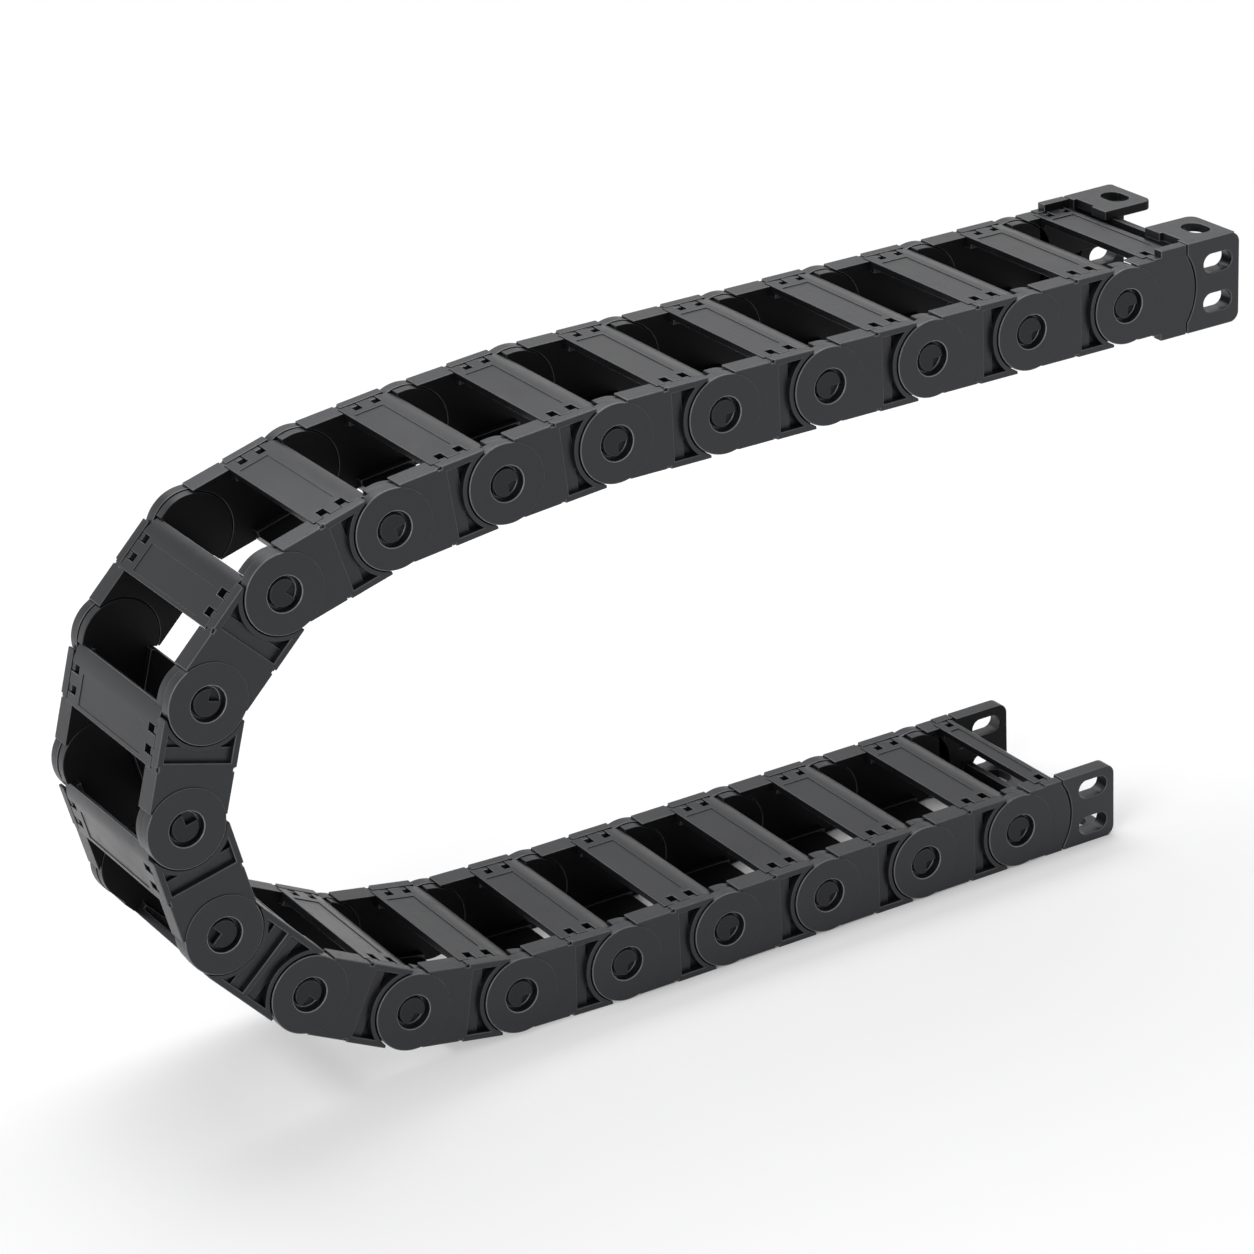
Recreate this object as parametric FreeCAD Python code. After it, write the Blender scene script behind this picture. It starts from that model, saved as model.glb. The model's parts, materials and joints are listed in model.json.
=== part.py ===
import FreeCAD, Part
import math
import os

# Cable drag chain, twenty hinge pins, laid out as a U: the fixed end lies on the
# floor at the right, the chain runs left, turns over and comes back above itself.
# Millimetres. +X runs along the lower run towards the fixed end, +Z is up and the
# side plates face -Y and +Y. The origin is on the floor, midway between the two
# foot slots of the fixed end bracket.

# Driving dimensions of a link
PITCH = 45.0              # pin centre to pin centre
HALF_W = 39.0             # chain centre to the outer face of an eye
HALF_H = 15.3             # chain centre line to the top of a rail
EYE_R = 15.0              # outer radius of the eye disc
PIN_R = 5.3               # hinge pin
OUTER_T = 5.0             # thickness of the outer layer, which holds the eye
INNER_T = 4.2             # thickness of the inner layer, which holds the cheek
MAX_BEND = 30.0           # degrees that one joint bends before its lugs stop it

# Fits and gaps
PIN_RUN = 0.06            # radial running clearance of a pin in its eye
LAYER_GAP = 0.3           # between an eye and the cheek behind it
ARC_GAP = 0.4             # between an eye and the arc frame that hugs it
SEAT_GAP = 0.1            # around a crossbar foot in its seat
POST_GAP = 0.2            # around a snap post in its notch
STOP_GAP = 1.0            # degrees left between a stop lug and its groove end
SEAM_GAP = 0.7            # open seam between an end plate and its bracket
BAR_END_GAP = 0.4         # between a crossbar and the rail beside it

# Shape of the side plates
FACE_D = 0.5              # the plate face lies this deep below the eye face
WHOLE_T = OUTER_T + LAYER_GAP + INNER_T
RAIL_STEP = 0.4           # the eye half of a plate is this much lower than the rails
SHOULDER_X = 5.1          # the rails start here, measured from the eye centre
STEP_X = 21.2             # the eye half ends here
NICK_W = 1.5              # small nick in the edge where the two halves meet
NICK_H = 1.1
NICK_D = 1.6
TIP_X = 6.0               # the fishtail tips end this far short of the pin centre
CHEEK_R = EYE_R - 0.3
RELIEF_R = EYE_R + 0.1    # room for the neighbour's cheek behind the eye
SINK_R = 6.6              # wide mouth of the bore
SINK_D = 2.8
PIN_D = 1.0               # the pin's end lies this deep below the eye face
PIN_CHAMFER = 0.4
LEAD_X = 0.8              # lower right quarter of the pin's end is cut away from here
LEAD_Z = 0.5
LEAD_D = SINK_D + 0.3
POCKET_X = 21.4           # left wall of the pocket, measured back from the pin
POCKET_H = HALF_H - 2.5
POCKET_D = 2.6
POCKET_DEEP_X = 16.2
POCKET_DEEP_D = 4.2
FRAME_T = 1.8             # wall of the arc frame

# Stop lugs on the cheek, running in grooves behind the eye
LUG_R0 = 8.5
LUG_R1 = 12.5
LUG_HALF = 12.0           # half width in degrees
LUG_T = 1.7
GROOVE_D = 2.0

# Crossbars
BAR_TOP = HALF_H - 0.1
BAR_BOTTOM = BAR_TOP - 4.5
BAR_THIN = 2.8            # thickness of the bar between its feet
BAR_BACK = 24.7           # the bar spans from here to BAR_FRONT, back from the pin
BAR_FRONT = 2.9
BAR_ROLL = 6.9            # length of the rounded front edge
BAR_DROP = 1.6
PANEL_D = 0.3             # sunk panel on the bar's top
FOOT_W = 3.0
POST_W = 2.6
POST_T = 2.4
NOSE = 0.8
NOSE_H = 1.5
POSTS = (5.5, 13.1)       # post centres, measured from the bar's back edge
RELEASE_L = 2.2           # slots for the blade that lifts a bar off its posts
RELEASE_D = 3.2

# End links and brackets
MOVING_SEAM = 28.1        # eye centre to the straight part of the seam
FIXED_SEAM = 20.5
SEAM_R = 23.5
SEAM_BULGE = 4.2          # how far the curved seam stands past the straight part
BRACKET_L = 25.5
BRACKET_T = 6.5
CORNER_R = 4.0
SLOT_L = 13.5
SLOT_W = 7.5
SLOT_X = 15.2
SLOT_Z = 7.9
TAB_T = 3.6
TAB_IN = 27.0             # the tab reaches this deep from the eye face
TAB_SLOT = 14.2           # depth of the tab slot's centre
TAB_SLOT_L = 12.5         # the tab slots run across the chain
TAB_SLOT_W = 9.0
TAB_X = 2.4
TAB_SHORT = 1.6           # the tab ends this far before the bracket does
TAB_OUTER_R = 2.0
EAR_OUT = 1.5             # ear on the inner half of the tab's seam edge
EAR_W = 9.0
CLIP_X = 12.0             # length of the clip blocks on the moving end plates
CLIP_H = 2.6              # the moving end's brackets are this much taller than its plates
TONGUE_L = 12.4
TONGUE_H = 3.0
STUD_X = 8.0
STUD_R = 2.4
STUD_T = 2.4
TIE_X0 = 4.6
TIE_X1 = 7.4
TIE_H = 6.0
TIE_DROP = 0.1            # between the tie panel and the tabs above it
TENON = 2.5

# Bend of each joint as it lies, in degrees, counted from the moving end
REST_BEND = {6: 5, 7: 2, 8: 9, 9: 29, 10: 29, 11: 29, 12: 29, 13: 21, 14: 17, 15: 8, 16: 2}
JOINTS = 20
TURN = 12                 # the link from pin 12 to pin 13 has a pin at both ends
FIXED_EYE_X = -(FIXED_SEAM + SLOT_X)


def vec(x, y, z):
    return FreeCAD.Vector(x, y, z)


# Simple bodies of the near side; depth counts inwards from the eye face
def at(depth):
    return depth - HALF_W


def block(x0, x1, z0, z1, d0, d1):
    return Part.makeBox(x1 - x0, d1 - d0, z1 - z0, vec(x0, at(d0), z0))


def disc(x, z, radius, d0, d1):
    return Part.makeCylinder(radius, d1 - d0, vec(x, at(d0), z), vec(0, 1, 0))


def prism(points, d0, d1):
    loop = [vec(x, at(d0), z) for x, z in points]
    face = Part.Face(Part.makePolygon(loop + loop[:1]))
    return face.extrude(vec(0, d1 - d0, 0))


def sector(x, z, r0, r1, middle, half, d0, d1):
    """A piece of a ring, its middle at the given angle in degrees from +X to +Z."""
    def on(radius, degrees):
        turn = math.radians(degrees)
        return vec(x + radius * math.cos(turn), at(d0), z + radius * math.sin(turn))
    low = middle - half
    high = middle + half
    edges = [
        Part.Arc(on(r0, low), on(r0, middle), on(r0, high)).toShape(),
        Part.makeLine(on(r0, high), on(r1, high)),
        Part.Arc(on(r1, high), on(r1, middle), on(r1, low)).toShape(),
        Part.makeLine(on(r1, low), on(r0, low)),
    ]
    return Part.Face(Part.Wire(edges)).extrude(vec(0, d1 - d0, 0))


def slot_cut(x, z, d0, d1):
    reach = (SLOT_L - SLOT_W) / 2
    middle = block(x - reach, x + reach, z - SLOT_W / 2, z + SLOT_W / 2, d0, d1)
    left = disc(x - reach, z, SLOT_W / 2, d0, d1)
    right = disc(x + reach, z, SLOT_W / 2, d0, d1)
    return middle.fuse([left, right])


def both_sides(near):
    return [near, near.mirror(vec(0, 0, 0), vec(0, 1, 0))]


def upside_down(shape):
    return shape.mirror(vec(0, 0, 0), vec(0, 0, 1))


# Side plates
def plate_outline(x0, x1, step_x):
    low = HALF_H - RAIL_STEP
    return [(x0, -low), (step_x, -low), (step_x, -HALF_H), (x1, -HALF_H),
            (x1, HALF_H), (step_x, HALF_H), (step_x, low), (x0, low)]


def plate_body(x0, x1, step_x):
    outline = plate_outline(x0, x1, step_x)
    return prism(outline, FACE_D, WHOLE_T)


def with_eye(plate):
    """Eye disc at x = 0, with its bore, stop grooves and room for a cheek."""
    behind = disc(0, 0, RELIEF_R, OUTER_T, WHOLE_T + 1)
    plate = plate.cut(behind).fuse(disc(0, 0, EYE_R, 0, OUTER_T))
    cuts = [disc(0, 0, PIN_R + PIN_RUN, -1, OUTER_T + 1)]
    cuts.append(disc(0, 0, SINK_R, -1, SINK_D))
    half = LUG_HALF + MAX_BEND / 2 + STOP_GAP
    for middle in (90, 270):
        cuts.append(sector(0, 0, LUG_R0 - POST_GAP, LUG_R1 + POST_GAP, middle, half,
                           OUTER_T - GROOVE_D, OUTER_T + 1))
    return plate.cut(cuts)


def arc_frame_cut():
    """What the plate loses around a pin: room for the neighbour's eye."""
    eye_room = disc(PITCH, 0, EYE_R + ARC_GAP, -1, OUTER_T + LAYER_GAP)
    tips = block(PITCH - TIP_X, PITCH + EYE_R, -HALF_H - 1, HALF_H + 1, -1, WHOLE_T + 1)
    return [eye_room, tips]


def pocket_cut():
    wall = disc(PITCH, 0, EYE_R + ARC_GAP + FRAME_T, -2, WHOLE_T)
    shallow = block(PITCH - POCKET_X, PITCH, -POCKET_H, POCKET_H, -1, POCKET_D)
    deep = block(PITCH - POCKET_DEEP_X, PITCH, -POCKET_H, POCKET_H, -1, POCKET_DEEP_D)
    return [shallow.cut(wall), deep.cut(wall)]


def pin_end(lug_middle):
    """Cheek, neck, pin and stop lugs around the pin centre."""
    inner_d = OUTER_T + LAYER_GAP
    cheek = disc(PITCH, 0, CHEEK_R, inner_d, WHOLE_T)
    neck = block(PITCH - EYE_R - ARC_GAP, PITCH, -CHEEK_R, CHEEK_R, inner_d, WHOLE_T)
    pin = disc(PITCH, 0, PIN_R, PIN_D + PIN_CHAMFER, WHOLE_T)
    tip = Part.makeCone(PIN_R - PIN_CHAMFER, PIN_R, PIN_CHAMFER, vec(PITCH, at(PIN_D), 0),
                        vec(0, 1, 0))
    pin = pin.fuse(tip)
    lead_in = block(PITCH + LEAD_X, PITCH + PIN_R + 1, -PIN_R - 1, -LEAD_Z, -1, LEAD_D)
    end = cheek.fuse([neck, pin.cut(lead_in)])
    for middle in (lug_middle, lug_middle + 180):
        end = end.fuse(sector(PITCH, 0, LUG_R0, LUG_R1, middle, LUG_HALF,
                              inner_d - LUG_T, inner_d + 0.5))
    return end


def seat(plate, x0, x1, posts):
    """Seat for a crossbar foot with its snap posts, at the top and at the bottom."""
    floor_z = BAR_BOTTOM - SEAT_GAP
    room = block(x0 - SEAT_GAP, x1 + SEAT_GAP, floor_z, HALF_H + 1, OUTER_T, WHOLE_T + 1)
    studs = []
    for post in posts:
        left = x0 + post - POST_W / 2
        right = x0 + post + POST_W / 2
        studs.append(block(left, right, floor_z, BAR_TOP - 0.3, OUTER_T, OUTER_T + POST_T))
        studs.append(snap_nose(left))
    plate = plate.cut([room, upside_down(room)])
    return plate.fuse(studs + [upside_down(stud) for stud in studs])


def snap_nose(left):
    top = BAR_TOP - 0.3
    face = OUTER_T + POST_T
    corners = [vec(left, at(face), top - NOSE_H), vec(left, at(face + NOSE), top - NOSE_H),
               vec(left, at(face), top)]
    return Part.Face(Part.makePolygon(corners + corners[:1])).extrude(vec(POST_W, 0, 0))


def step_nicks():
    """A nick at the top and at the bottom, where the rails step up."""
    low = HALF_H - NICK_H
    nick = block(STEP_X - NICK_W / 2, STEP_X + NICK_W / 2, low, HALF_H + 1, -1, NICK_D)
    return [nick, upside_down(nick)]


def middle_plate(lug_middle):
    plate = with_eye(plate_body(SHOULDER_X, PITCH, STEP_X)).cut(arc_frame_cut())
    plate = plate.fuse(pin_end(lug_middle)).cut(pocket_cut() + step_nicks())
    plate = seat(plate, PITCH - BAR_BACK, PITCH - BAR_FRONT, POSTS)
    return plate.removeSplitter()


def turn_plate(lug_middle):
    """The link that turns the chain's hand: half a plate, mirrored on itself."""
    half = plate_body(PITCH / 2, PITCH, PITCH / 2).cut(arc_frame_cut())
    half = half.fuse(pin_end(lug_middle)).cut(pocket_cut())
    half = half.common(block(PITCH / 2, 2 * PITCH, -EYE_R * 2, EYE_R * 2, -1, WHOLE_T + 1))
    other = half.mirror(vec(PITCH / 2, 0, 0), vec(1, 0, 0))
    back = turn_bar_x()
    return seat(half.fuse(other), back, back + bar_length(), POSTS).removeSplitter()


def bar_length():
    return BAR_BACK - BAR_FRONT


def turn_bar_x():
    return (PITCH - bar_length()) / 2


def end_bar_span(seam_x):
    """Crossbars of an end link reach from the cheek's room to the seam."""
    start = math.sqrt(RELIEF_R ** 2 - BAR_BOTTOM ** 2) + SEAT_GAP + 0.2
    return start, seam_x - SEAT_GAP


def end_posts(seam_x):
    start, stop = end_bar_span(seam_x)
    length = stop - start
    if length > bar_length() * 0.6:
        return (length * 0.25, length * 0.72)
    return (length * 0.5,)


def end_plate(seam_x, clip):
    """Side plate of an end link: eye at the left, curved seam at the right."""
    plate = plate_body(SHOULDER_X, seam_x, SHOULDER_X + EYE_R * 0.5)
    bulge = disc(seam_x + SEAM_BULGE - SEAM_R, 0, SEAM_R, FACE_D, OUTER_T)
    past = block(seam_x - 1, seam_x + SEAM_R, -HALF_H, HALF_H, -1, OUTER_T)
    plate = with_eye(plate.fuse(bulge.common(past)))
    tongue = block(seam_x - 1, seam_x + TONGUE_L, -TONGUE_H, TONGUE_H,
                   OUTER_T + SEAT_GAP, WHOLE_T)
    stud = disc(seam_x + STUD_X, 0, STUD_R, OUTER_T - STUD_T, OUTER_T + SEAT_GAP)
    plate = plate.fuse([tongue, stud])
    start, stop = end_bar_span(seam_x)
    plate = seat(plate, start, stop, end_posts(seam_x))
    if clip:
        block_up = block(seam_x - CLIP_X, seam_x, HALF_H - 1, HALF_H + CLIP_H, FACE_D, OUTER_T)
        plate = plate.fuse([block_up, upside_down(block_up)])
    return plate.removeSplitter()


# Crossbars
def crossbar(x0, x1, roll, posts):
    """Top bar: a slab with a rolled front edge, and feet with notched ends."""
    reach = HALF_W - OUTER_T - BAR_END_GAP
    top = BAR_TOP
    knee = x1 - roll
    profile = [vec(x0, -reach, BAR_BOTTOM), vec(x0, -reach, top), vec(knee, -reach, top)]
    edges = [Part.makeLine(profile[0], profile[1]), Part.makeLine(profile[1], profile[2])]
    lip = vec(x1, -reach, top - BAR_DROP)
    crown = vec(knee + roll * 0.55, -reach, top - BAR_DROP * 0.32)
    edges.append(Part.Arc(profile[2], crown, lip).toShape())
    edges.append(Part.makeLine(lip, vec(x1, -reach, BAR_BOTTOM)))
    edges.append(Part.makeLine(vec(x1, -reach, BAR_BOTTOM), profile[0]))
    bar = Part.Face(Part.Wire(edges)).extrude(vec(0, 2 * reach, 0))
    inside = HALF_W - WHOLE_T - FOOT_W
    hollow = Part.makeBox(x1 - x0 + 2, 2 * inside, top - BAR_THIN - BAR_BOTTOM + 1,
                          vec(x0 - 1, -inside, BAR_BOTTOM - 1))
    panel = Part.makeBox(knee - x0 - 3.4, 2 * inside - 4, 1, vec(x0 + 1.7, -inside + 2,
                                                                top - PANEL_D))
    cuts = [hollow, panel]
    for post in posts:
        left = x0 + post - POST_W / 2 - POST_GAP
        right = x0 + post + POST_W / 2 + POST_GAP
        deep = OUTER_T + POST_T + POST_GAP
        ledge_z = top - 0.3 - NOSE_H - SEAT_GAP
        cuts += both_sides(block(left, right, BAR_BOTTOM - 1, top + 1, OUTER_T - 1, deep))
        ledge_end = deep + NOSE + 0.6
        cuts += both_sides(block(left, right, ledge_z, top + 1, deep - 1, ledge_end))
        cuts += both_sides(block(left, right, top - RELEASE_D, top + 1, ledge_end - 0.1,
                                 ledge_end + RELEASE_L))
    return bar.cut(cuts).removeSplitter()


def bar_pair(x0, x1, roll, posts):
    bar = crossbar(x0, x1, roll, posts)
    return [bar, upside_down(bar)]


# End brackets
def bracket(seam_x, half_h):
    """Near bracket with its tab at the top, standing right of the seam."""
    x0 = SEAM_GAP
    x1 = BRACKET_L
    body = block(x0, x1, -half_h, half_h, FACE_D, FACE_D + BRACKET_T)
    upright = [edge for edge in body.Edges if is_end_corner(edge, x1)]
    body = body.makeFillet(CORNER_R, upright)
    cuts = [disc(SEAM_BULGE - SEAM_R, 0, SEAM_R + SEAM_GAP, -1, WHOLE_T)]
    cuts += [slot_cut(SLOT_X, SLOT_Z, -1, WHOLE_T), slot_cut(SLOT_X, -SLOT_Z, -1, WHOLE_T)]
    cuts.append(block(x0 - 1, TONGUE_L + SEAT_GAP, -TONGUE_H - SEAT_GAP,
                      TONGUE_H + SEAT_GAP, OUTER_T, WHOLE_T))
    cuts.append(disc(STUD_X, 0, STUD_R + SEAT_GAP, OUTER_T - STUD_T - SEAT_GAP, WHOLE_T))
    inner = FACE_D + BRACKET_T
    tie_z0, tie_z1 = tie_span(half_h)
    cuts.append(block(TIE_X0 + 0.5 - SEAT_GAP, TIE_X1 - 0.5 + SEAT_GAP, tie_z0 + 1 - SEAT_GAP,
                      tie_z1 - 1 + SEAT_GAP, inner - TENON - SEAT_GAP, WHOLE_T))
    body = body.cut(cuts).fuse(bracket_tab(half_h))
    body = body.removeSplitter()
    body.translate(vec(seam_x, 0, 0))
    return body


def is_end_corner(edge, x1):
    ends = [vertex.Point for vertex in edge.Vertexes]
    along_y = abs(ends[0].y - ends[1].y) > 1
    return along_y and all(abs(end.x - x1) < 0.01 for end in ends)


def bracket_tab(half_h):
    """Tab with a slot across the chain, two rounded corners and an ear at the seam."""
    z0 = half_h - TAB_T
    stop = BRACKET_L - TAB_SHORT
    tab = block(TAB_X, stop, z0, half_h, FACE_D, TAB_IN)
    tab = tab.makeFillet(CORNER_R, tab_corners(tab, stop, TAB_IN))
    tab = tab.makeFillet(TAB_OUTER_R, tab_corners(tab, stop, FACE_D))
    ear = block(TAB_X - EAR_OUT, TAB_X + 1, z0, half_h, TAB_IN - EAR_W, TAB_IN)
    reach = (TAB_SLOT_L - TAB_SLOT_W) / 2
    hole = Part.makeBox(TAB_SLOT_W, 2 * reach, TAB_T + 2,
                        vec(SLOT_X - TAB_SLOT_W / 2, at(TAB_SLOT) - reach, z0 - 1))
    ends = [Part.makeCylinder(TAB_SLOT_W / 2, TAB_T + 2,
                              vec(SLOT_X, at(TAB_SLOT) + side, z0 - 1))
            for side in (-reach, reach)]
    return tab.fuse(ear).cut([hole] + ends)


def tab_corners(tab, x, depth):
    """The upright edge of the tab at the given place."""
    found = []
    for edge in tab.Edges:
        ends = [vertex.Point for vertex in edge.Vertexes]
        along_z = len(ends) == 2 and abs(ends[0].z - ends[1].z) > 1
        if along_z and all(abs(p.x - x) < 0.01 and abs(p.y - at(depth)) < 0.01 for p in ends):
            found.append(edge)
    return found


def tie_span(half_h):
    """Lower and upper edge of the tie panel under tabs that end at half_h."""
    upper = half_h - TAB_T - TIE_DROP
    return upper - TIE_H, upper


def tie(seam_x, half_h):
    """Panel between the two brackets, held by a tenon at each end."""
    reach = HALF_W - FACE_D - BRACKET_T
    z0, z1 = tie_span(half_h)
    panel = Part.makeBox(TIE_X1 - TIE_X0, 2 * reach, z1 - z0, vec(TIE_X0, -reach, z0))
    tenons = Part.makeBox(TIE_X1 - TIE_X0 - 1.0, 2 * (reach + TENON), z1 - z0 - 2,
                          vec(TIE_X0 + 0.5, -reach - TENON, z0 + 1))
    body = panel.fuse(tenons).removeSplitter()
    body.translate(vec(seam_x, 0, 0))
    return body


# Where the links lie
def pin_places():
    """Centre of every pin and the heading of every link, from the fixed end back."""
    places = {JOINTS: (FIXED_EYE_X, HALF_H)}
    heading = 0.0
    headings = {JOINTS: heading}
    for pin in range(JOINTS, 1, -1):
        heading -= REST_BEND.get(pin, 0)
        turn = math.radians(heading)
        x, z = places[pin]
        places[pin - 1] = (x - PITCH * math.cos(turn), z - PITCH * math.sin(turn))
        headings[pin - 1] = heading
    headings[0] = heading - REST_BEND.get(1, 0)
    return places, headings


def laid(shapes, place, degrees):
    """Turn bodies made at the origin to a heading in the XZ plane and place them."""
    done = []
    for shape in shapes:
        copy = shape.copy()
        copy.rotate(vec(0, 0, 0), vec(0, -1, 0), degrees)
        copy.translate(vec(place[0], 0, place[1]))
        done.append(copy)
    return done


def export(name, solids):
    shape = solids[0] if len(solids) == 1 else Part.makeCompound(solids)
    shape.exportStep("parts/" + name + ".step")


def export_middle_links(places, headings):
    upper = both_sides(middle_plate(90 - MAX_BEND / 2))
    lower = both_sides(middle_plate(90 + MAX_BEND / 2))
    turn = both_sides(turn_plate(90 + MAX_BEND / 2))
    bars = bar_pair(PITCH - BAR_BACK, PITCH - BAR_FRONT, BAR_ROLL, POSTS)
    turn_bars = bar_pair(turn_bar_x(), turn_bar_x() + bar_length(), BAR_ROLL, POSTS)
    for link in range(1, JOINTS):
        # Each link lies between pin number `link` and the next one
        if link < TURN:
            plates, cross, start, degrees = upper, bars, link + 1, headings[link] + 180
        elif link == TURN:
            plates, cross, start, degrees = turn, turn_bars, link, headings[link]
        else:
            plates, cross, start, degrees = lower, bars, link, headings[link]
        export("link_%02d_side_plates" % link, laid(plates, places[start], degrees))
        export("link_%02d_crossbars" % link, laid(cross, places[start], degrees))


def export_end(name, seam_x, place, degrees, clip, flip):
    half_h = HALF_H + CLIP_H if clip else HALF_H
    plates = laid(both_sides(end_plate(seam_x, clip)), place, degrees)
    start, stop = end_bar_span(seam_x)
    bars = bar_pair(start, stop, (stop - start) * 0.2, end_posts(seam_x))
    near = bracket(seam_x, half_h)
    cross = tie(seam_x, half_h)
    if flip:
        near = upside_down(near)
        cross = upside_down(cross)
    brackets = laid(both_sides(near), place, degrees)
    export(name + "_end_plate_right", [plates[0]])
    export(name + "_end_plate_left", [plates[1]])
    export(name + "_end_crossbars", laid(bars, place, degrees))
    export(name + "_end_bracket_right", [brackets[0]])
    export(name + "_end_bracket_left", [brackets[1]])
    export(name + "_end_tie", laid([cross], place, degrees))


os.makedirs("parts", exist_ok=True)
PLACES, HEADINGS = pin_places()
export_middle_links(PLACES, HEADINGS)
export_end("moving", MOVING_SEAM, PLACES[1], HEADINGS[0] + 180, True, False)
export_end("fixed", FIXED_SEAM, PLACES[JOINTS], HEADINGS[JOINTS], False, True)
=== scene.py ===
import json
import math

import bmesh
import bpy
from mathutils import Matrix, Quaternion, Vector


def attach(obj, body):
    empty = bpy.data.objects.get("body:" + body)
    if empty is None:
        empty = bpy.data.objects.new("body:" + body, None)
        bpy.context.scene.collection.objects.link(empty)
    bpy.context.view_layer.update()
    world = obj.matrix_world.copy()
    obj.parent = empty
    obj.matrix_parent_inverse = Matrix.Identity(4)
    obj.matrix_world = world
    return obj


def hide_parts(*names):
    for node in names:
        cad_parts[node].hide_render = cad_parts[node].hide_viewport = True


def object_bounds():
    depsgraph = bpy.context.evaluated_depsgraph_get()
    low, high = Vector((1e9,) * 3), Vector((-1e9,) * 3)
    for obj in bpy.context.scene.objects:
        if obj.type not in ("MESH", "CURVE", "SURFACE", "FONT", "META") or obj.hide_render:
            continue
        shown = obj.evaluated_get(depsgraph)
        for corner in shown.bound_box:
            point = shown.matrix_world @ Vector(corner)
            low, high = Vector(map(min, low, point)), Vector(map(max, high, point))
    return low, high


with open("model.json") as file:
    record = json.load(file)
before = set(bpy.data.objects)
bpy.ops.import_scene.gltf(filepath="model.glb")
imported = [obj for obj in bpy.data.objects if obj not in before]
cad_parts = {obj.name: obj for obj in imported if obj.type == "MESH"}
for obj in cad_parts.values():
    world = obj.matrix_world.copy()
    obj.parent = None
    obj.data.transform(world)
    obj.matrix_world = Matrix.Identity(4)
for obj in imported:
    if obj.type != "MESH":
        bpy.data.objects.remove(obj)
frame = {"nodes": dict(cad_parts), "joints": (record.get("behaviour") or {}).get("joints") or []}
CAD_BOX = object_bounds()


# Pins
# Twenty hinge pins hold the chain together. They are moulded on the side plates
# and numbered from the moving end, and every link hangs between two of them.

PINS = {int(joint["name"].removeprefix("pin_")): Vector(joint["pos_m"])
        for joint in frame["joints"]}
PITCH = (PINS[1] - PINS[2]).length
TURN = 12   # the link between pins 12 and 13 has a pin at both ends
LINKS = range(1, len(PINS))


def link_lay(link):
    """Eye centre of a link and its heading in radians, from +X towards +Z."""
    eye, far = (link + 1, link) if link < TURN else (link, link + 1)
    along = PINS[far] - PINS[eye]
    return PINS[eye], math.atan2(along.z, along.x)


# Side plates
# Each link has two side plates, mirror images of each other, injection moulded in
# black glass-filled nylon. Eye, arc frame, rails, pin and snap posts are one piece.

ACROSS = Vector((0, 1, 0))           # from one plate of a link to the other
PLATE_EDGE = 0.00034                 # rounding that the mould leaves on outer edges
FINE_EDGE = 0.0001                   # and the one that it leaves on low steps
LOW_STEP = 0.0006                    # steps lower than this get the fine rounding
TINY_STEP = 0.00025                  # and those lower than this none
MERGE = 0.00001                      # points closer than this are one
FLAT_ANGLE = math.radians(1.0)
CORNER_ANGLE = math.radians(32.0)
CREASE_ANGLE = math.radians(50.0)
FLAT_WEIGHT = 60                     # how much the large faces decide the shading of edges
FACING = 0.5                         # an inner face looks at least this much to the middle

ARC_NEAR, ARC_FAR = 0.0146, 0.0180   # the arc frame's edges, measured from the pin
RIM_NEAR, RIM_FAR = 0.0144, 0.0152   # the edge of the eye disc, measured from its centre
BORE_LIP = 0.0072                    # radius that the lip of the bore's mouth lies within
PIN_END = 0.0052                     # radius that the pin's end face lies within
ARC_HIGHLIGHT, EDGE_HIGHLIGHT, RIM_HIGHLIGHT, LIP_HIGHLIGHT = 0.05, 0.4, 0.7, 1.0   # strength of the painted highlight on each kind of edge
PIN_SHADE_SHARE = 0.45                      # share of the painted shade on a pin's end, beside that on an inner face

PLATE_BLACK = (0.0056, 0.0058, 0.0064, 1)
# painted highlight: a lighter grey put on the rounded edges of plates and brackets
PLATE_HIGHLIGHT = (0.200, 0.203, 0.212, 1)
# painted shade: a darker black put on the inner faces and pin ends
INNER_SHADE_BLACK = (0.0030, 0.0031, 0.0034, 1)
INNER_ROUGH, INNER_GLOSS = 0.7, 0.1
INNER_SHADE_SHARE = 0.85                    # share of this matt black, a painted shade, on an inner face
COOL_GLOSS = (0.93, 0.95, 1.0, 1)    # tint of the reflections
SATIN, SATIN_GLOSS = 0.38, 0.52      # roughness and specular level of plates and brackets
SCUFF_LIFT = 1.7                     # scuffed nylon against fresh nylon
CLOUDS, PATCHES, SCUFFS, STREAKS, GRAIN = 28.0, 90.0, 160.0, 420.0, 2300.0   # per metre
GRAIN_DEPTH = 0.00004


class Wire:
    """One value in a finish. Sums and products of wires add the nodes for them."""

    def __init__(self, finish, socket):
        self.finish = finish
        self.socket = socket

    def __add__(self, other):
        return self.finish.maths("ADD", self, other)

    def __radd__(self, other):
        return self.finish.maths("ADD", other, self)

    def __sub__(self, other):
        return self.finish.maths("SUBTRACT", self, other)

    def __rsub__(self, other):
        return self.finish.maths("SUBTRACT", other, self)

    def __mul__(self, other):
        return self.finish.maths("MULTIPLY", self, other)

    def __rmul__(self, other):
        return self.finish.maths("MULTIPLY", other, self)

    def __abs__(self):
        return self.finish.maths("ABSOLUTE", self)

    def above(self, level, soft):
        """0 below the level and 1 above it, with a soft step between."""
        return self.finish.node("ShaderNodeMapRange", {"interpolation_type": "SMOOTHSTEP"},
                                {"Value": self, "From Min": level - soft, "From Max": level + soft})


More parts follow.
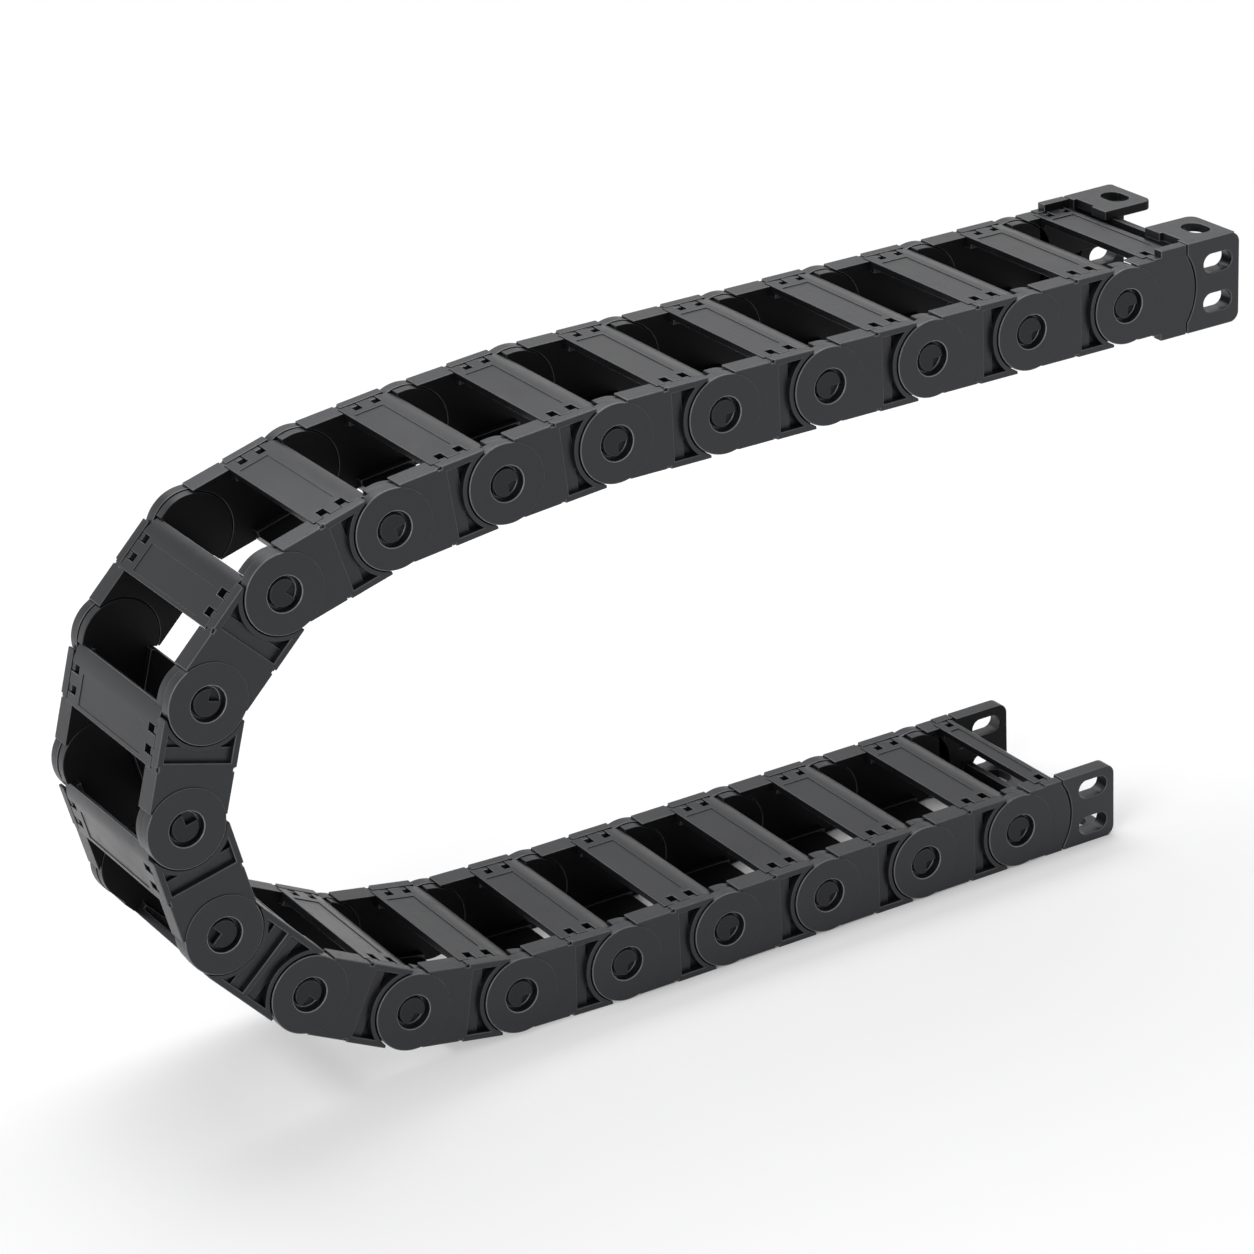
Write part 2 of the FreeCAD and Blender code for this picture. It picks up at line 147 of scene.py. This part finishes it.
class Finish:
    """The nodes of a material or of the room, under construction."""

    def __init__(self, owner):
        owner.use_nodes = True
        self.owner = owner
        self.tree = owner.node_tree
        self.tree.nodes.clear()

    def node(self, kind, settings=None, values=None, output=0):
        made = self.tree.nodes.new(kind)
        for name, value in (settings or {}).items():
            setattr(made, name, value)
        for key, value in (values or {}).items():
            if isinstance(value, Wire):
                self.tree.links.new(value.socket, made.inputs[key])
            else:
                made.inputs[key].default_value = value
        return Wire(self, made.outputs[output]) if made.outputs else None

    def maths(self, operation, first, second=0.0):
        return self.node("ShaderNodeMath", {"operation": operation}, {0: first, 1: second})

    def blend(self, share, low, high):
        """Colour between low and high."""
        return self.node("ShaderNodeMix", {"data_type": "RGBA"}, {0: share, 6: low, 7: high}, 2)

    def noise(self, place, scale, detail=2.0):
        return self.node("ShaderNodeTexNoise", None,
                         {"Vector": place, "Scale": scale, "Detail": detail, "Roughness": 0.55})

    def surface(self, share, first, second):
        """Ends a material with two shaders, the second one by its share."""
        mixed = self.node("ShaderNodeMixShader", None, {0: share, 1: first, 2: second})
        self.node("ShaderNodeOutputMaterial", None, {"Surface": mixed})
        return self.owner


def moulded_nylon(name, black, highlight_colour, roughness, gloss, stretch=(1, 1, 1)):
    """Satin black nylon: fine spark grain, cloudy gloss, a painted highlight on rounded edges,
    painted shade (a darker matt black) on inner faces.
    """
    finish = Finish(bpy.data.materials.new(name))
    place = finish.node("ShaderNodeTexCoord", output="Object")
    drawn = finish.node("ShaderNodeMapping", None, {"Vector": place, "Scale": stretch})
    cloud = finish.noise(place, CLOUDS, 3.0)
    streak = finish.noise(drawn, STREAKS, 3.0)
    grain = finish.noise(place, GRAIN)
    scuff = finish.noise(place, SCUFFS, 4.0).above(0.62, 0.05)
    edge = finish.node("ShaderNodeAttribute", {"attribute_name": "edge_highlight"}, output="Fac")
    # painted highlight: the rounded edges get a lighter colour, in patches, strongest at bore lips
    # and eye rims
    painted_highlight = edge * (0.45 + 0.75 * finish.noise(place, PATCHES))
    scuffed_black = [level * SCUFF_LIFT for level in black[:3]] + [1]
    base = finish.blend(0.25 * scuff + 0.5 * cloud, black, scuffed_black)
    colour = finish.blend(painted_highlight, base, highlight_colour)
    rough = roughness + 0.20 * (cloud - 0.5) + 0.10 * (streak - 0.5) + 0.05 * scuff - 0.16 * painted_highlight
    skin = finish.node("ShaderNodeBump", None,
                       {"Strength": 0.30, "Distance": GRAIN_DEPTH,
                        "Height": 0.6 * grain + 0.4 * streak})
    satin = finish.node("ShaderNodeBsdfPrincipled", None,
                        {"Base Color": colour, "Roughness": rough, "Normal": skin,
                         "Specular IOR Level": gloss, "Specular Tint": COOL_GLOSS})
    # painted shade: a darker, matt black for faces that look to the middle of the link and for pin
    # ends
    shaded_matt = finish.node("ShaderNodeBsdfPrincipled", None,
                       {"Base Color": INNER_SHADE_BLACK, "Roughness": INNER_ROUGH,
                        "Specular IOR Level": INNER_GLOSS})
    inner_shade = finish.node("ShaderNodeAttribute", {"attribute_name": "inner_shade"}, output="Fac")
    return finish.surface(INNER_SHADE_SHARE * inner_shade, satin, shaded_matt)


def plain_copy(node, place=Vector(), heading=0.0):
    """The node's body with its flats merged, moved back to the link's own axes."""
    body = bmesh.new()
    body.from_mesh(frame["nodes"][node].data)
    back = Matrix.Rotation(heading, 4, ACROSS) @ Matrix.Translation(-place)
    bmesh.ops.transform(body, matrix=back, verts=body.verts)
    bmesh.ops.remove_doubles(body, verts=body.verts, dist=MERGE)
    bmesh.ops.dissolve_limit(body, angle_limit=FLAT_ANGLE, verts=body.verts, edges=body.edges)
    return body


def corners(body, edge_highlight, least, most):
    """Sharp outer edges that aren't rounded yet, beside a face of this width."""
    found = []
    for edge in body.edges:
        if not edge.is_manifold or edge.calc_face_angle_signed() < CORNER_ANGLE:
            continue
        if edge.calc_length() < MERGE or any(face[edge_highlight] > 0 for face in edge.link_faces):
            continue
        strip = min(face.calc_area() for face in edge.link_faces) / edge.calc_length()
        if least < strip <= most:
            found.append(edge)
    return found


def highlight_share(middle, pins, eyes):
    """How strong the painted highlight on a rounded edge is: bore lips shine and arc frames stay
    dark.
    """
    for x, z in pins:
        if ARC_NEAR < math.hypot(middle.x - x, middle.z - z) < ARC_FAR:
            return ARC_HIGHLIGHT
    for x, z in eyes:
        away = math.hypot(middle.x - x, middle.z - z)
        if away < BORE_LIP:
            return LIP_HIGHLIGHT
        if RIM_NEAR < away < RIM_FAR:
            return RIM_HIGHLIGHT
    return EDGE_HIGHLIGHT


def round_edges(body, width, across=ACROSS, pins=(), eyes=()):
    """Rounds the outer edges and marks them for a painted highlight; marks the inner faces and pin
    ends for painted shade.
    """
    edge_highlight = body.faces.layers.float.new("edge_highlight")
    inner_shade = body.faces.layers.float.new("inner_shade")
    for least, most, offset, steps in ((LOW_STEP, math.inf, width, 2),
                                       (TINY_STEP, LOW_STEP, FINE_EDGE, 1)):
        made = bmesh.ops.bevel(body, geom=corners(body, edge_highlight, least, most), offset=offset,
                               offset_type="OFFSET", segments=steps, profile=0.5,
                               affect="EDGES", clamp_overlap=False)
        # each new rounded face gets its share of painted highlight
        for face in made["faces"]:
            face[edge_highlight] = highlight_share(face.calc_center_median(), pins, eyes)
    # faces that look to the middle of the link, and pin ends, are marked for painted shade
    for face in body.faces:
        face.smooth = True
        middle = face.calc_center_median()
        facing = face.normal.dot(across)
        if abs(facing) > FACING and facing * middle.dot(across) < 0:
            face[inner_shade] = 1.0
        elif any(math.hypot(middle.x - x, middle.z - z) < PIN_END for x, z in pins):
            face[inner_shade] = PIN_SHADE_SHARE
    for edge in body.edges:
        edge.smooth = edge.is_manifold and edge.calc_face_angle() < CREASE_ANGLE


def as_mesh(body, name):
    mesh = bpy.data.meshes.new(name)
    body.to_mesh(mesh)
    body.free()
    return mesh


def near_half(body):
    """Keeps the body on the -Y side of a mirrored pair."""
    bmesh.ops.delete(body, geom=[v for v in body.verts if v.co.y > 0], context="VERTS")


def pair_tree():
    """Geometry nodes that add a body's mirror image and lay the pair in the chain."""
    tree = bpy.data.node_groups.new("pair_in_chain", "GeometryNodeTree")
    for name, kind in (("One of the pair", "Geometry"), ("Mirror", "Vector"),
                       ("Eye centre", "Vector"), ("Turn", "Vector"), ("Finish", "Material")):
        tree.interface.new_socket(name=name, in_out="INPUT", socket_type="NodeSocket" + kind)
    tree.interface.new_socket(name="Pair", in_out="OUTPUT", socket_type="NodeSocketGeometry")
    link = tree.links.new
    given = tree.nodes.new("NodeGroupInput")
    image = tree.nodes.new("GeometryNodeTransform")
    link(given.outputs["One of the pair"], image.inputs["Geometry"])
    link(given.outputs["Mirror"], image.inputs["Scale"])
    flipped = tree.nodes.new("GeometryNodeFlipFaces")
    link(image.outputs[0], flipped.inputs[0])
    both = tree.nodes.new("GeometryNodeJoinGeometry")
    link(flipped.outputs[0], both.inputs[0])
    link(given.outputs["One of the pair"], both.inputs[0])
    spot = tree.nodes.new("GeometryNodePoints")
    link(given.outputs["Eye centre"], spot.inputs["Position"])
    laid = tree.nodes.new("GeometryNodeInstanceOnPoints")
    link(spot.outputs[0], laid.inputs["Points"])
    link(both.outputs[0], laid.inputs["Instance"])
    turn = tree.nodes.new("FunctionNodeEulerToRotation")
    link(given.outputs["Turn"], turn.inputs[0])
    link(turn.outputs[0], laid.inputs["Rotation"])
    real = tree.nodes.new("GeometryNodeRealizeInstances")
    link(laid.outputs[0], real.inputs[0])
    finished = tree.nodes.new("GeometryNodeSetMaterial")
    link(real.outputs[0], finished.inputs["Geometry"])
    link(given.outputs["Finish"], finished.inputs["Material"])
    done = tree.nodes.new("NodeGroupOutput")
    link(finished.outputs[0], done.inputs["Pair"])
    return tree


PAIR_TREE = pair_tree()
SIDE_BY_SIDE = (1, -1, 1)


def settled(host):
    """The host with its modifiers turned into one plain mesh."""
    flats = host.modifiers.new("flats stay flat", "WEIGHTED_NORMAL")
    flats.weight = FLAT_WEIGHT
    flats.keep_sharp = True
    bpy.context.view_layer.update()
    graph = bpy.context.evaluated_depsgraph_get()
    mesh = bpy.data.meshes.new_from_object(host.evaluated_get(graph))
    host.modifiers.clear()
    host.data = mesh
    return host


def laid_pair(name, half, mirror, place, heading, material):
    host = bpy.data.objects.new(name, half)
    bpy.context.scene.collection.objects.link(host)
    pair = host.modifiers.new("pair", "NODES")
    pair.node_group = PAIR_TREE
    values = {"Mirror": mirror, "Eye centre": place, "Turn": (0, -heading, 0), "Finish": material}
    for item in PAIR_TREE.interface.items_tree:
        if item.in_out == "INPUT" and item.name in values:
            pair[item.identifier] = values[item.name]
    return settled(host)


def pair_half(node, link, keep, *rounding):
    """One body of a link's pair, rounded, on the link's own axes."""
    body = plain_copy(node, *link_lay(link))
    keep(body)
    round_edges(body, *rounding)
    return as_mesh(body, node + "_half")


PLATE_NYLON = moulded_nylon("side_plate_nylon", PLATE_BLACK, PLATE_HIGHLIGHT, SATIN, SATIN_GLOSS)
UPPER_SAMPLE = 1    # the links above the turn are all alike,
LOWER_SAMPLE = 17   # and so are the links below it
NEAR_HUB, FAR_HUB = (0, 0), (PITCH, 0)   # a link's two hinges on its own axes
PLATE_HALVES = {}
for sample in (UPPER_SAMPLE, TURN, LOWER_SAMPLE):
    pins, eyes = ([NEAR_HUB, FAR_HUB], []) if sample == TURN else ([FAR_HUB], [NEAR_HUB])
    PLATE_HALVES[sample] = pair_half("link_%02d_side_plates" % sample, sample, near_half,
                                     PLATE_EDGE, ACROSS, pins, eyes)
for link in LINKS:
    sample = UPPER_SAMPLE if link < TURN else LOWER_SAMPLE
    half = PLATE_HALVES[TURN if link == TURN else sample]
    plates = laid_pair("plates_%02d" % link, half, SIDE_BY_SIDE, *link_lay(link), PLATE_NYLON)
    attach(plates, "link_%02d" % link)
    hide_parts("link_%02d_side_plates" % link)


# Crossbars
# Two bars join the plates of a link, one at each face of the chain. They are the
# same nylon from another mould, with a rolled front edge, and snap over the posts.

OUTWARD = Vector((0, 0, 1))          # from the middle of a link to its outer bar
BAR_EDGE = 0.00024
BAR_BLACK = (0.0056, 0.0059, 0.0067, 1)
# painted highlight: a lighter grey put on the rounded edges of the bars
BAR_HIGHLIGHT = (0.230, 0.234, 0.246, 1)
BAR_SATIN, BAR_GLOSS = 0.32, 0.46
LENGTHWAYS = (1, 0.06, 1)            # the mould's streaks run from plate to plate
TOP_AND_BOTTOM = (1, 1, -1)


def outer_half(body):
    """Keeps the upper body of a pair that is mirrored top to bottom."""
    bmesh.ops.delete(body, geom=[v for v in body.verts if v.co.z < 0], context="VERTS")


BAR_NYLON = moulded_nylon("crossbar_nylon", BAR_BLACK, BAR_HIGHLIGHT, BAR_SATIN, BAR_GLOSS, LENGTHWAYS)
BAR_HALVES = {sample: pair_half("link_%02d_crossbars" % sample, sample, outer_half, BAR_EDGE, OUTWARD)
              for sample in (LOWER_SAMPLE, TURN)}
for link in LINKS:
    half = BAR_HALVES[TURN if link == TURN else LOWER_SAMPLE]
    bars = laid_pair("bars_%02d" % link, half, TOP_AND_BOTTOM, *link_lay(link), BAR_NYLON)
    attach(bars, "link_%02d" % link)
    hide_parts("link_%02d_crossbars" % link)


# End links
# The first and last links end in a curved seam and hook onto the brackets with a
# tongue and a stud. The moving end's plates carry a clip block above and below.


def end_piece(node, name, body_name, width, material, eyes=()):
    """A single piece of an end, rounded where it stands."""
    body = plain_copy(node)
    round_edges(body, width, eyes=eyes)
    piece = bpy.data.objects.new(name, as_mesh(body, name))
    bpy.context.scene.collection.objects.link(piece)
    piece.data.materials.append(material)
    settled(piece)
    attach(piece, body_name)
    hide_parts(node)


for end, hub in (("moving_end", PINS[1]), ("fixed_end", PINS[len(PINS)])):
    for side in ("right", "left"):
        end_piece("%s_plate_%s" % (end, side), "%s_side_%s" % (end, side), end, PLATE_EDGE,
                  PLATE_NYLON, [(hub.x, hub.z)])
    end_piece("%s_crossbars" % end, "%s_bars" % end, end, BAR_EDGE, BAR_NYLON)


# Brackets
# An L-shaped bracket stands at each side of each end, with two slots in its wall
# and one in its tab. A flat tie panel, tenoned into both, keeps the pair apart.

BRACKET_EDGE = 0.00035
BRACKET_BLACK = (0.0056, 0.0058, 0.0065, 1)

BRACKET_NYLON = moulded_nylon("bracket_nylon", BRACKET_BLACK, PLATE_HIGHLIGHT, SATIN, SATIN_GLOSS)
for end in ("moving_end", "fixed_end"):
    for side in ("right", "left"):
        end_piece("%s_bracket_%s" % (end, side), "%s_foot_%s" % (end, side), end, BRACKET_EDGE,
                  BRACKET_NYLON)
    end_piece("%s_tie" % end, "%s_tie_panel" % end, end, BAR_EDGE, BRACKET_NYLON)


# Floor and light
# A seamless white studio floor that only keeps the soft shadow under the chain,
# with one broad overhead softbox, a weaker one at the left and even fill light.

FLOOR_HALF = 6.0
FLOOR_PALE = (0.93, 0.93, 0.94, 1)
WHITE = (1, 1, 1, 1)
CENTRE = (CAD_BOX[0] + CAD_BOX[1]) / 2
FLAT_ON_FLOOR = Vector((1, 1, 0))
LAST_FLAT = 16                       # from this pin to the fixed end the chain lies flat
STRIP_SOFT, RUN_SOFT = 0.008, 0.02   # borders of the painted shadow strip below the flat run, where the floor has no glow
RUN_SHORT = 0.03                     # the strip stops this far inside the chain's box
GLOW_NEAR = 0.42                     # share of plain white on the floor near the chain,
GLOW_RADIUS, GLOW_SOFT = 0.70, 0.40  # which grows to 1 around this distance
FILL_LEVEL = 0.42                    # light from all round on the chain
CEILING_LEVEL = 0.50                 # brightness of the ceiling as seen, beside a white wall
CEILING_FROM, WALL_FROM = -0.60, -0.16   # steep rays see the ceiling and flat ones the wall


def seen_directly(finish):
    """1 for rays that show a surface, straight or mirrored, and 0 for rays that light one."""
    camera, glossy, through = [finish.node("ShaderNodeLightPath", output=name)
                               for name in ("Is Camera Ray", "Is Glossy Ray", "Is Transmission Ray")]
    return camera + glossy + through


def studio_floor():
    """White paper that glows where it is seen, less so near the chain and not below it, which paints
    a darker shadow strip under the flat run.
    """
    finish = Finish(bpy.data.materials.new("studio_floor"))
    paper = finish.node("ShaderNodeBsdfDiffuse", None, {"Color": FLOOR_PALE})
    glow = finish.node("ShaderNodeEmission", None, {"Color": WHITE, "Strength": 1.0})
    place = finish.node("ShaderNodeTexCoord", output="Object")
    away = finish.node("ShaderNodeVectorMath", {"operation": "DISTANCE"},
                       {0: place, 1: CENTRE * FLAT_ON_FLOOR}, "Value")
    along = finish.node("ShaderNodeSeparateXYZ", None, {"Vector": place}, "X")
    beside = finish.node("ShaderNodeSeparateXYZ", None, {"Vector": place}, "Y")
    # painted shadow: no glow in this strip under the flat run, so the floor there is darker than
    # beside it
    strip = 1 - abs(beside).above(CAD_BOX[1].y, STRIP_SOFT)
    run = (along.above(PINS[LAST_FLAT].x, RUN_SOFT)
           * (1 - along.above(CAD_BOX[1].x - RUN_SHORT, RUN_SOFT)))
    share = GLOW_NEAR + (1 - GLOW_NEAR) * away.above(GLOW_RADIUS, GLOW_SOFT)
    return finish.surface(seen_directly(finish) * (1 - strip * run) * share, paper, glow)


FLOOR_CORNERS = [(x * FLOOR_HALF, y * FLOOR_HALF, 0) for x, y in ((-1, -1), (1, -1), (1, 1), (-1, 1))]
floor_mesh = bpy.data.meshes.new("floor")
floor_mesh.from_pydata(FLOOR_CORNERS, [], [(0, 1, 2, 3)])
floor_mesh.materials.append(studio_floor())
floor = bpy.data.objects.new("floor", floor_mesh)
bpy.context.scene.collection.objects.link(floor)


def softbox(name, place, width, depth, watts):
    """A rectangular lamp, aimed at the middle of the chain."""
    light = bpy.data.lights.new(name, "AREA")
    light.shape = "RECTANGLE"
    light.size = width
    light.size_y = depth
    light.energy = watts
    lamp = bpy.data.objects.new(name, light)
    lamp.location = place
    lamp.rotation_mode = "QUATERNION"
    lamp.rotation_quaternion = (CENTRE - place).to_track_quat("-Z", "Y")
    bpy.context.scene.collection.objects.link(lamp)


softbox("softbox_above", CENTRE + Vector((0.20, 0.55, 1.25)), width=1.5, depth=1.1, watts=19)
softbox("softbox_left", CENTRE + Vector((-1.6, -0.9, 0.9)), width=0.9, depth=1.2, watts=14)


def white_room():
    """Even fill light. Seen directly, it is a white wall that fades into a dimmer ceiling."""
    room = Finish(bpy.data.worlds.new("white_room"))
    incoming = room.node("ShaderNodeNewGeometry", output="Incoming")
    climb = room.node("ShaderNodeSeparateXYZ", None, {"Vector": incoming}, "Z")
    wall = room.node("ShaderNodeMapRange", {"interpolation_type": "SMOOTHSTEP"},
                     {"Value": climb, "From Min": CEILING_FROM, "From Max": WALL_FROM,
                      "To Min": CEILING_LEVEL, "To Max": 1.0})
    level = room.node("ShaderNodeMapRange", None,
                      {"Value": seen_directly(room), "To Min": FILL_LEVEL, "To Max": wall})
    light = room.node("ShaderNodeBackground", None, {"Color": WHITE, "Strength": level})
    room.node("ShaderNodeOutputWorld", None, {"Surface": light})
    return room.owner


bpy.context.scene.world = white_room()


# Camera
# A long lens from the front left and above, a little rolled, as the photograph
# was taken: the lower run recedes to the right and rises in the frame.

CAMERA_PLACE = (-0.8894, -1.1952, 0.7418)
CAMERA_AZIMUTH = math.radians(30.50)
CAMERA_DOWN = math.radians(23.83)
CAMERA_ROLL = math.radians(2.99)
CAMERA_LENS = 118.2
CAMERA_SENSOR = 36.0
CAMERA_REACH = 50.0

camera = bpy.data.objects.new("camera", bpy.data.cameras.new("camera"))
bpy.context.scene.collection.objects.link(camera)
look = Vector((math.cos(CAMERA_DOWN) * math.sin(CAMERA_AZIMUTH),
               math.cos(CAMERA_DOWN) * math.cos(CAMERA_AZIMUTH), -math.sin(CAMERA_DOWN)))
camera.location = CAMERA_PLACE
camera.rotation_mode = "QUATERNION"
camera.rotation_quaternion = look.to_track_quat("-Z", "Y") @ Quaternion((0, 0, 1), -CAMERA_ROLL)
camera.data.sensor_width = CAMERA_SENSOR
camera.data.lens = CAMERA_LENS
camera.data.clip_end = CAMERA_REACH
bpy.context.scene.camera = camera
bpy.context.scene.view_settings.view_transform = "Standard"
